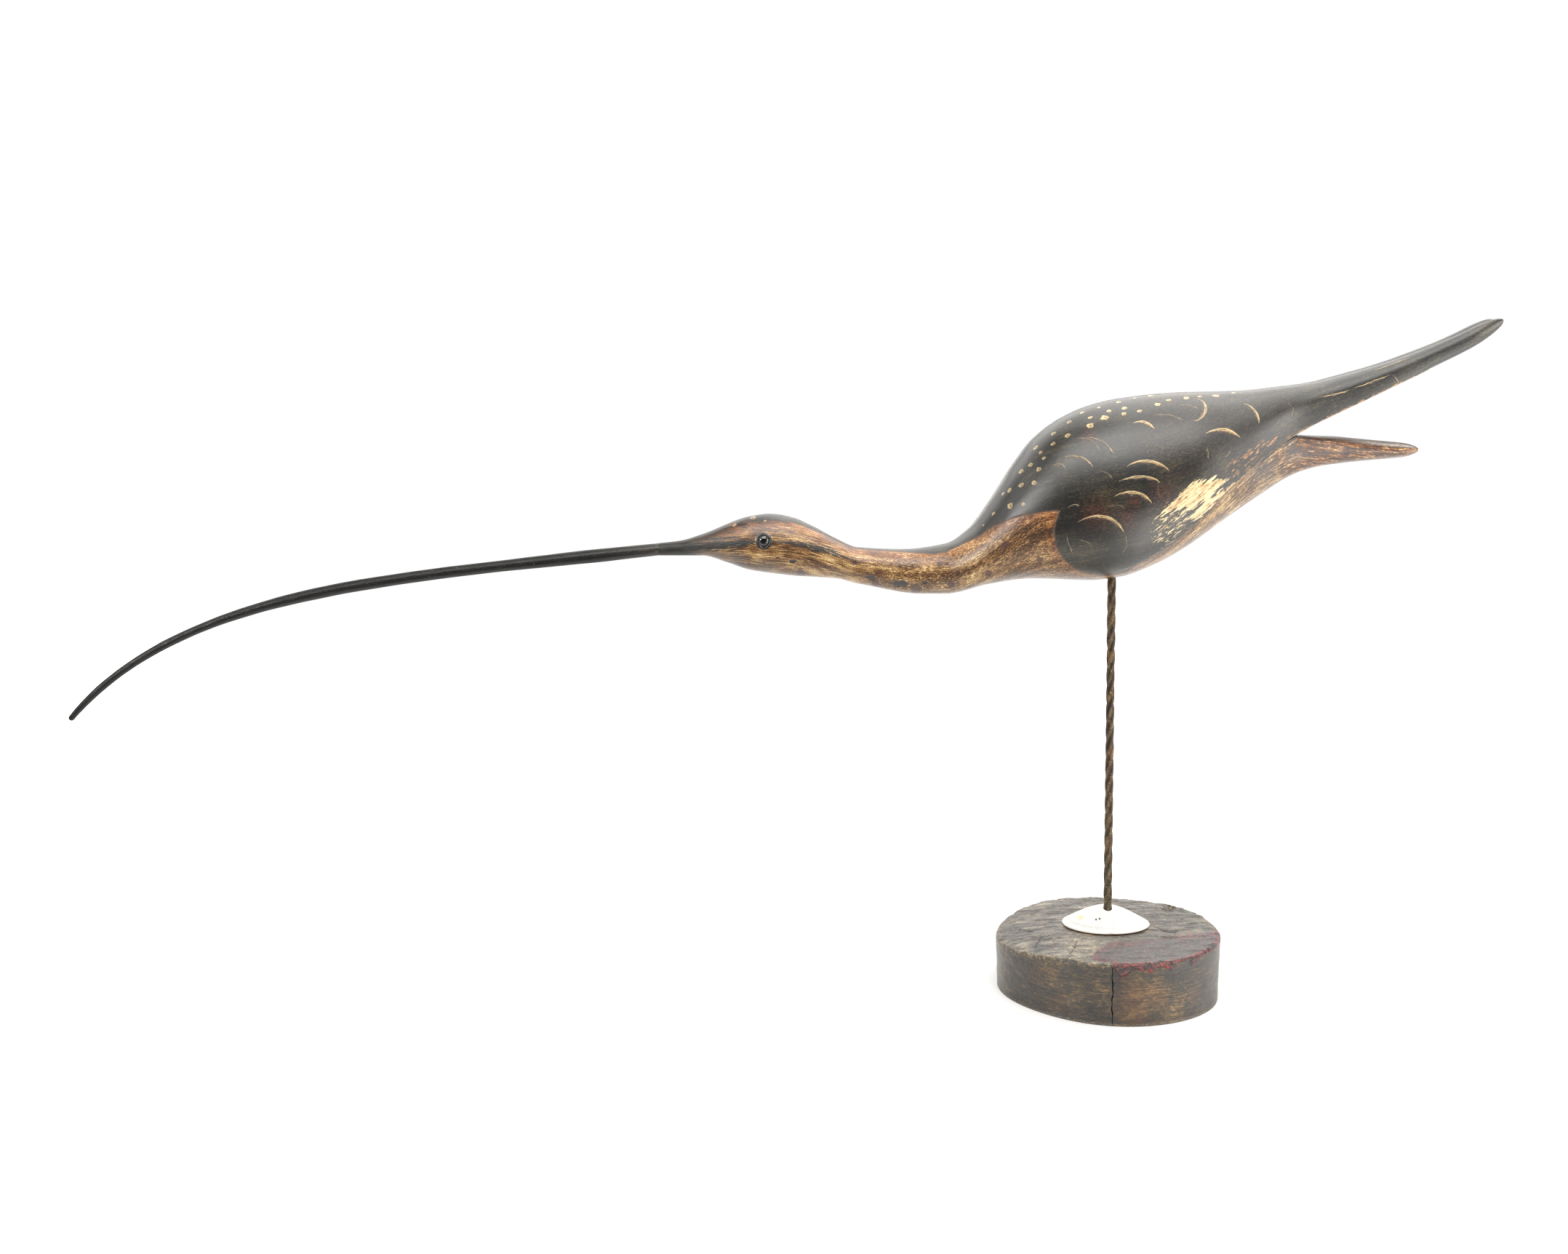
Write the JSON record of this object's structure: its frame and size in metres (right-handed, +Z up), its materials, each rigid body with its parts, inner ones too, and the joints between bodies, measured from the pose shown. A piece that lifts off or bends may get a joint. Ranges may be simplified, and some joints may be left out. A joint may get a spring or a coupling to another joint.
{
  "type": "shorebird decoy",
  "caption": "Folk-carved shorebird decoy: a painted wooden curlew with a long down-curved bill, standing on a twisted iron leg set through a sea shell into a round wooden base.",
  "frame": {"origin": "on the flat underside of the base, on the axis of the leg", "axes": "+Z up along the leg, +X from the bill towards the tail, +Y from the shown side of the bird to the hidden one"},
  "size_m": [0.7926, 0.1252, 0.3755],
  "materials": {
    "painted_bird": "hand painted in charcoal and brown glaze over bare wood, worn, with a satin varnish",
    "painted_bill": "painted black, semi-gloss, with whittling marks",
    "eye_glass": "dark polished glass",
    "leg_iron": "twisted wrought bar, brown patina with paint flecks",
    "sea_shell": "white ribbed shell, satin",
    "painted_base": "rough wood with dark paint rubbed back, glossy red over paint on the front right"
  },
  "bodies": {
    "root": {"carved_bird": "painted_bird", "bill": "painted_bill", "eye_left": "eye_glass", "eye_right": "eye_glass", "leg_rod": "leg_iron", "shell": "sea_shell", "base_block": "painted_base"}
  },
  "joints": []
}
